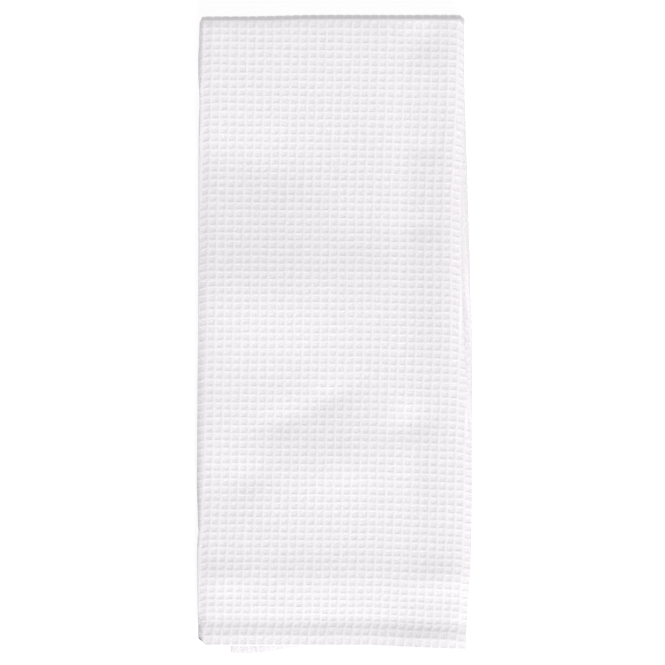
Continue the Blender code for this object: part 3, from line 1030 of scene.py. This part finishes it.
def cotton_colour_with_shade(tree, place, crest):
    """White, with painted shade: darker and greyer in the cells, and in random dark specks between
    the yarns.
    """
    mottle = do_math(tree, "SUBTRACT", add_noise(tree, place, MOTTLE_SCALE, 4.0), 0.5)
    # pit is 1 in the cells; it sets where the painted shade darkens the colour.
    pit = do_math(tree, "SUBTRACT", 1.0, crest)
    shade = do_math(tree, "MULTIPLY_ADD", mottle, MOTTLE_SHARE, pit)
    shade = do_math(tree, "MULTIPLY", shade, PIT_SHADE_SHARE)
    colour = blend_colours(tree, shade, CLOTH_COLOUR, PIT_SHADE_COLOUR)
    # Painted shade in random specks, as in the hollows between the threads.
    speckle = add_noise(tree, place, SPECKLE_SCALE, 1.0)
    hollow_shade = do_math(tree, "SUBTRACT", smooth_range(tree, speckle, SPECKLE_START, SPECKLE_END), 1.0)
    speckle_shade_weight = do_math(tree, "MULTIPLY_ADD", pit, 1 - SPECKLE_ON_RIBS, SPECKLE_ON_RIBS)
    depth = do_math(tree, "MULTIPLY", speckle_shade_weight, SPECKLE_SHADE)
    shaded = add_node(tree, "ShaderNodeVectorMath", operation="SCALE")
    feed(tree, shaded.inputs[0], colour)
    feed(tree, shaded.inputs["Scale"], do_math(tree, "MULTIPLY_ADD", hollow_shade, depth, 1.0))
    return shaded.outputs[0]


# %% The whole cotton finish
def cotton_material():
    material, tree, shader = new_finish("white waffle cotton")
    place = add_node(tree, "ShaderNodeUVMap", uv_map="weave").outputs["UV"]
    across, along = split_vector(tree, place)
    beside_rib = cell_position(tree, across, CELL_WIDTH)
    beside_cross_rib = cell_position(tree, do_math(tree, "ADD", along, HALF_LENGTH), CELL_HEIGHT)
    outermost = do_math(tree, "MAXIMUM", beside_rib, beside_cross_rib)
    crest = smooth_range(tree, outermost, CREST_START, CREST_END)
    threads = thread_pattern(tree, across, along, beside_rib, beside_cross_rib, outermost)
    fuzz = add_noise(tree, place, FUZZ_SCALE, 3.0)
    slub = add_noise(tree, place, SLUB_SCALE, 2.0)
    height = do_math(tree, "MULTIPLY_ADD", fuzz, FUZZ_SHARE, threads)
    height = do_math(tree, "MULTIPLY_ADD", slub, SLUB_SHARE, height)
    add_bump(tree, shader, do_math(tree, "ADD", crest, height), THREAD_BUMP, THREAD_HEIGHT)
    feed(tree, shader.inputs["Base Color"], cotton_colour_with_shade(tree, place, crest))
    roughness = do_math(tree, "MULTIPLY_ADD", fuzz, FUZZ_ROUGHNESS, ROUGHNESS)
    feed(tree, shader.inputs["Roughness"], roughness)
    shader.inputs["Metallic"].default_value = 0.0
    shader.inputs["IOR"].default_value = 1.45
    shader.inputs["Specular IOR Level"].default_value = 0.25
    shader.inputs["Sheen Weight"].default_value = 0.12
    shader.inputs["Sheen Roughness"].default_value = 0.5
    return material


waffle_cotton = cotton_material()
print("cotton:", len(waffle_cotton.node_tree.nodes), "nodes")

# %% [markdown]
# ## Sinking the cells
#
# Every cell is the same shape, so it is a rule and not a model: a point sinks by how far it is
# from the nearest rib, with a flat top on the rib, a flat floor in the pit and a soft slope
# between. Modelling one cell and copying it would leave seams on the folds. Instead a Geometry
# Nodes tree reads each point's place on the flat cloth and moves the point inwards. The upright
# ribs are a little higher than the cross ribs, as on the real weave, and no two cells are quite
# equally deep.

# %% Helpers for Geometry Nodes
def new_tree(name, **inputs):
    """A tree with a geometry in and out and these inputs, and the sockets of its Group Input."""
    tree = bpy.data.node_groups.new(name, "GeometryNodeTree")
    tree.interface.new_socket("Geometry", in_out="INPUT", socket_type="NodeSocketGeometry")
    for label, kind in inputs.items():
        label = label.replace("_", " ").title()
        tree.interface.new_socket(label, in_out="INPUT", socket_type="NodeSocket" + kind)
    tree.interface.new_socket("Geometry", in_out="OUTPUT", socket_type="NodeSocketGeometry")
    return tree, add_node(tree, "NodeGroupInput").outputs


def finish_tree(tree, geometry, material):
    """Ends a tree with real geometry in its material."""
    real = add_node(tree, "GeometryNodeRealizeInstances")
    feed(tree, real.inputs[0], geometry)
    paint = add_node(tree, "GeometryNodeSetMaterial")
    feed(tree, paint.inputs["Geometry"], real.outputs[0])
    feed(tree, paint.inputs["Material"], material)
    feed(tree, add_node(tree, "NodeGroupOutput").inputs[0], paint.outputs[0])


def read_attribute(tree, name, kind):
    """A point attribute of the mesh, by name."""
    node = add_node(tree, "GeometryNodeInputNamedAttribute", data_type=kind)
    node.inputs["Name"].default_value = name
    return node.outputs["Attribute"]


def run_tree(piece, tree, inputs):
    """Runs a tree on a piece with these inputs, and leaves the result as the piece's plain mesh."""
    modifier = piece.modifiers.new("rule", "NODES")
    modifier.node_group = tree
    items = [item for item in tree.interface.items_tree if item.in_out == "INPUT"]
    sockets = {item.name: item.identifier for item in items}
    for name, value in inputs.items():
        modifier[sockets[name]] = value
    evaluated = piece.evaluated_get(bpy.context.evaluated_depsgraph_get())
    mesh = bpy.data.meshes.new_from_object(evaluated)
    name = piece.name
    made = bpy.data.objects.new(name + "_made", mesh)
    bpy.context.scene.collection.objects.link(made)
    piece.modifiers.remove(modifier)
    bpy.data.objects.remove(piece)
    made.name = name
    mesh.name = name
    mesh.shade_smooth()
    mesh.calc_loop_triangles()
    return made


print("a tree is run once, and its result kept as a plain mesh")


# %% The tree that sinks the cells
ROW_STEP = 97.0  # more than the cells in a row, so that every cell has its own number


def waffle_tree():
    tree, given = new_tree(
        "sink the waffle cells",
        cell_width="Float",
        cell_height="Float",
        cloth_half_length="Float",
        rib_edge="Float",
        pit_edge="Float",
        cross_rib_height="Float",
        unevenness="Float",
        seed="Int",
        material="Material",
    )
    across, along = split_vector(tree, read_attribute(tree, "cloth_place", "FLOAT_VECTOR"))
    along = do_math(tree, "ADD", along, given["Cloth Half Length"])
    ribs = []
    for place, size in ((across, given["Cell Width"]), (along, given["Cell Height"])):
        position = cell_position(tree, place, size)
        ribs.append(smooth_range(tree, position, given["Pit Edge"], given["Rib Edge"]))
    cross = do_math(tree, "MULTIPLY", ribs[1], given["Cross Rib Height"])
    below = do_math(tree, "SUBTRACT", do_math(tree, "MAXIMUM", ribs[0], cross), 1.0)

    column = do_math(tree, "FLOOR", do_math(tree, "DIVIDE", across, given["Cell Width"]))
    row = do_math(tree, "FLOOR", do_math(tree, "DIVIDE", along, given["Cell Height"]))
    chance = add_node(tree, "FunctionNodeRandomValue", data_type="FLOAT")
    feed(tree, chance.inputs["ID"], do_math(tree, "MULTIPLY_ADD", row, ROW_STEP, column))
    feed(tree, chance.inputs["Seed"], given["Seed"])
    swing = do_math(tree, "SUBTRACT", chance.outputs[1], 0.5)
    swing = do_math(tree, "MULTIPLY", swing, given["Unevenness"])
    swing = do_math(tree, "ADD", swing, 1.0)
    depth = do_math(tree, "MULTIPLY", swing, read_attribute(tree, "cell_sink", "FLOAT"))
    move = add_node(tree, "ShaderNodeVectorMath", operation="SCALE")
    feed(tree, move.inputs[0], read_attribute(tree, "outward", "FLOAT_VECTOR"))
    feed(tree, move.inputs["Scale"], do_math(tree, "MULTIPLY", depth, below))
    sink = add_node(tree, "GeometryNodeSetPosition")
    feed(tree, sink.inputs["Geometry"], given["Geometry"])
    feed(tree, sink.inputs["Offset"], move.outputs[0])
    finish_tree(tree, sink.outputs[0], given["Material"])
    return tree


folded_towel = run_tree(
    folded_towel,
    waffle_tree(),
    {
        "Cell Width": CELL_WIDTH,
        "Cell Height": CELL_HEIGHT,
        "Cloth Half Length": HALF_LENGTH,
        "Rib Edge": 0.8,
        "Pit Edge": 0.5,
        "Cross Rib Height": 0.82,
        "Unevenness": 0.14,
        "Seed": 7,
        "Material": waffle_cotton,
    },
)
for spent in ("outward", "cloth_place", "cell_sink"):
    folded_towel.data.attributes.remove(folded_towel.data.attributes[spent])
print("the towel has", len(folded_towel.data.loop_triangles), "triangles")

# %% [markdown]
# ## The hem's stitches
#
# All four hems are sewn with one line of white thread. A stitch is a short rounded bar that
# bites into the cloth at both ends. Hundreds of them follow one path, which is just the job for
# Geometry Nodes: the path comes from the shape rule, the tree spaces the stitches along it and
# turns each to follow the line.

# %% The paths of the stitches
STITCH_LENGTH = 2.5 * MM
STITCH_GAP = 0.7 * MM
STITCH_THICKNESS = 0.42 * MM
STITCH_DEPTH = 0.42 * MM
PATH_STEP = 0.8 * MM
PRESSED_HEIGHT = 0.62 * MM


def seam_path(start, end):
    """Points of the sewn line between two places on the flat cloth."""
    steps = int(math.dist(start, end) / PATH_STEP)
    share = np.linspace(0, 1, steps + 1)
    across = start[0] + (end[0] - start[0]) * share
    along = start[1] + (end[1] - start[1]) * share
    points = towel_point(across, along, SHEET / 2 - STITCH_DEPTH)
    points[:, 2] = np.maximum(points[:, 2], PRESSED_HEIGHT)
    return points


def seam_curve():
    low, high = STITCH_INSET, CLOTH_WIDTH - STITCH_INSET
    foot, head = HALF_LENGTH - STITCH_INSET, -HALF_LENGTH + STITCH_INSET
    corners = [(low, foot), (high, foot), (high, head), (low, head)]
    curve = bpy.data.curves.new("seam_path", "CURVE")
    curve.dimensions = "3D"
    for start, end in zip(corners, corners[1:] + corners[:1]):
        points = seam_path(start, end)
        spline = curve.splines.new("POLY")
        spline.points.add(len(points) - 1)
        flat = np.column_stack([points, np.ones(len(points))])
        spline.points.foreach_set("co", flat.astype(np.float32).ravel())
    path = bpy.data.objects.new("hem_stitches", curve)
    bpy.context.scene.collection.objects.link(path)
    return path


hem_stitches = seam_curve()
print(len(hem_stitches.data.splines), "sewn lines")


# %% The thread's finish
THREAD_COLOURS = ((0.88, 0.87, 0.88, 1.0), (0.80, 0.79, 0.80, 1.0))
TWIST_SCALE = 2600.0
TWIST_BUMP = 0.4
TWIST_HEIGHT = 0.05 * MM
THREAD_ROUGHNESS = 0.55
TWIST_ROUGHNESS = 0.2


def thread_material():
    material, tree, shader = new_finish("white sewing thread")
    place = add_node(tree, "ShaderNodeTexCoord").outputs["Object"]
    twist = add_noise(tree, place, TWIST_SCALE, 2.0)
    feed(tree, shader.inputs["Base Color"], blend_colours(tree, twist, *THREAD_COLOURS))
    add_bump(tree, shader, twist, TWIST_BUMP, TWIST_HEIGHT)
    roughness = do_math(tree, "MULTIPLY_ADD", twist, TWIST_ROUGHNESS, THREAD_ROUGHNESS)
    feed(tree, shader.inputs["Roughness"], roughness)
    shader.inputs["Sheen Weight"].default_value = 0.1
    return material


sewing_thread = thread_material()
print("thread:", len(sewing_thread.node_tree.nodes), "nodes")


# %% The tree that lays the stitches
def stitch_tree():
    tree, given = new_tree(
        "lay the hem stitches",
        stitch_length="Float",
        stitch_gap="Float",
        thickness="Float",
        material="Material",
    )
    pace = do_math(tree, "ADD", given["Stitch Length"], given["Stitch Gap"])
    evenly = add_node(tree, "GeometryNodeCurveToPoints", mode="LENGTH")
    feed(tree, evenly.inputs["Curve"], given["Geometry"])
    feed(tree, evenly.inputs["Length"], pace)
    bead = add_node(tree, "GeometryNodeMeshUVSphere")
    bead.inputs["Segments"].default_value = 6
    bead.inputs["Rings"].default_value = 5
    bead.inputs["Radius"].default_value = 0.5
    size = add_node(tree, "ShaderNodeCombineXYZ")
    for axis, length in enumerate(("Thickness", "Thickness", "Stitch Length")):
        feed(tree, size.inputs[axis], given[length])
    turn = add_node(tree, "FunctionNodeAlignRotationToVector", axis="Z")
    feed(tree, turn.inputs["Vector"], evenly.outputs["Tangent"])
    lay = add_node(tree, "GeometryNodeInstanceOnPoints")
    feed(tree, lay.inputs["Points"], evenly.outputs["Points"])
    feed(tree, lay.inputs["Instance"], bead.outputs["Mesh"])
    feed(tree, lay.inputs["Rotation"], turn.outputs["Rotation"])
    feed(tree, lay.inputs["Scale"], size.outputs[0])
    finish_tree(tree, lay.outputs[0], given["Material"])
    return tree


hem_stitches = run_tree(
    hem_stitches,
    stitch_tree(),
    {
        "Stitch Length": STITCH_LENGTH,
        "Stitch Gap": STITCH_GAP,
        "Thickness": STITCH_THICKNESS,
        "Material": sewing_thread,
    },
)
print("the stitches have", len(hem_stitches.data.loop_triangles), "triangles")

# %% [markdown]
# ## Floor, light and camera
#
# The towel lies on a plain white table and is seen from straight above, through a long lens so
# that its sides don't lean. White cloth on white needs a low, soft key light to show its cells:
# it comes from the lower right, and a bright even sky fills the shadows. The table glows a
# little itself, as a light table does. A plain white one would need more light to look white
# round the towel's shadows, and would then throw so much back that the towel's edges were lost.

# %% The white table
FLOOR_SIZE = 6.0
SKY_STRENGTH = 0.635
FLOOR_GAP = 0.2 * MM
FLOOR_GREY = 0.3
FLOOR_GLOW = 0.78


def white_table():
    bm = bmesh.new()
    bmesh.ops.create_grid(bm, x_segments=1, y_segments=1, size=FLOOR_SIZE / 2)
    mesh = bpy.data.meshes.new("white_table")
    bm.to_mesh(mesh)
    bm.free()
    mesh.transform(Matrix.Translation((0, 0, -FLOOR_GAP)))
    material, tree, shader = new_finish("white table")
    shader.inputs["Base Color"].default_value = (FLOOR_GREY, FLOOR_GREY, FLOOR_GREY, 1.0)
    shader.inputs["Roughness"].default_value = 0.9
    shader.inputs["Emission Color"].default_value = (1, 1, 1, 1)
    shader.inputs["Emission Strength"].default_value = FLOOR_GLOW
    mesh.materials.append(material)
    table = bpy.data.objects.new("white_table", mesh)
    bpy.context.scene.collection.objects.link(table)
    return table


table_top = white_table()
print("table", FLOOR_SIZE, "m across")


# %% Soft light
def point_at(thing, place, target):
    """Puts a lamp or camera at a place, looking at a target."""
    thing.location = place
    thing.rotation_euler = (Vector(target) - Vector(place)).to_track_quat("-Z", "Y").to_euler()


def soft_lamp(name, azimuth, elevation, distance, size, power):
    """A square area lamp. Azimuth is measured from +X towards +Y, in degrees."""
    lamp = bpy.data.lights.new(name, "AREA")
    lamp.shape = "SQUARE"
    lamp.size = size
    lamp.energy = power
    thing = bpy.data.objects.new(name, lamp)
    bpy.context.scene.collection.objects.link(thing)
    turn, rise = math.radians(azimuth), math.radians(elevation)
    flat = distance * math.cos(rise)
    place = (flat * math.cos(turn), flat * math.sin(turn), distance * math.sin(rise))
    point_at(thing, place, (0, 0, 0))
    return thing


key_lamp = soft_lamp("key lamp", azimuth=-71, elevation=38, distance=6.0, size=2.0, power=299)
sky = bpy.data.worlds.new("even white sky")
bpy.context.scene.world = sky
sky.use_nodes = True
sky_light = sky.node_tree.nodes["Background"]
sky_light.inputs["Color"].default_value = (1.0, 1.0, 1.0, 1.0)
sky_light.inputs["Strength"].default_value = SKY_STRENGTH
print("key lamp", round(key_lamp.data.energy), "W, sky", SKY_STRENGTH)

# %% The camera, straight above
FIELD = 373 * MM
LENS = 150.0
SENSOR = 36.0
VIEW_CENTRE_X = -1.3 * MM
VIEW_CENTRE_Y = 1.3 * MM


def overhead_camera():
    data = bpy.data.cameras.new("overhead camera")
    data.lens = LENS
    data.sensor_width = SENSOR
    data.clip_start = 0.05
    data.clip_end = 50
    data.dof.use_dof = False
    camera = bpy.data.objects.new("overhead camera", data)
    bpy.context.scene.collection.objects.link(camera)
    camera.location = (VIEW_CENTRE_X, VIEW_CENTRE_Y, cad_high[2] + FIELD * LENS / SENSOR)
    camera.rotation_euler = (0, 0, 0)
    bpy.context.scene.camera = camera
    return camera


overhead = overhead_camera()
bpy.context.scene.view_settings.view_transform = "Standard"
bpy.context.scene.view_settings.look = "None"
print("camera", round(overhead.location.z, 2), "m up")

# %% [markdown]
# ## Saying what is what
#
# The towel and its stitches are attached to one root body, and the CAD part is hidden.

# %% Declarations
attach(folded_towel, "root")
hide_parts("dish_towel")
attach(hem_stitches, "root")
